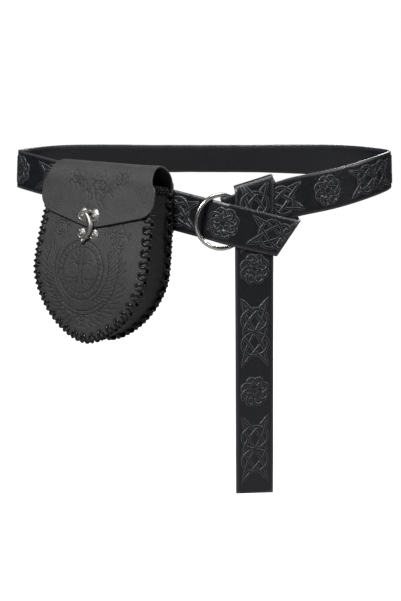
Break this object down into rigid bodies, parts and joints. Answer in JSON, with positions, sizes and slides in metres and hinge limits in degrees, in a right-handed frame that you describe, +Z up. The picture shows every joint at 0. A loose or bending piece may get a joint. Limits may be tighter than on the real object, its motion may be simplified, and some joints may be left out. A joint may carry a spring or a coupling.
{
  "type": "medieval belt pouch",
  "caption": "Black leather medieval belt pouch with a rounded body, gusset, folded flap and small swinging hook clasp, hanging on a wide knotted leather ring belt with a long tail.",
  "frame": {"origin": "The middle of the waist opening, level with the middle of the strap at the wearer's sides.", "axes": "+X to the right as seen from the front, +Y back through the wearer, +Z up. The wearer faces -Y."},
  "size_m": [0.4081, 0.306, 0.3521],
  "materials": {
    "belt_leather": "black embossed leather, satin",
    "pouch_leather": "black grained leather, soft sheen",
    "gusset_leather": "darker black grained leather",
    "nickel": "polished nickel plated wire",
    "aged_silver": "antique silver casting, dark in its hollows"
  },
  "bodies": {
    "belt_and_pouch": {"belt_strap": "belt_leather", "belt_ring": "nickel", "pouch_back_flap": "pouch_leather", "pouch_gusset": "gusset_leather", "pouch_front": "pouch_leather", "belt_loop_left": "pouch_leather", "belt_loop_right": "pouch_leather", "clasp_upper_plate": "aged_silver", "clasp_lower_plate": "aged_silver"},
    "hook": {"clasp_hook": "aged_silver"}
  },
  "joints": [
    {"name": "clasp_swing", "type": "hinge", "parent": "belt_and_pouch", "child": "hook", "pos_m": [-0.11569, -0.13707, -0.03619], "axis": [-0.8902, 0.4536, 0.0436], "range_deg": [0, 110]}
  ]
}
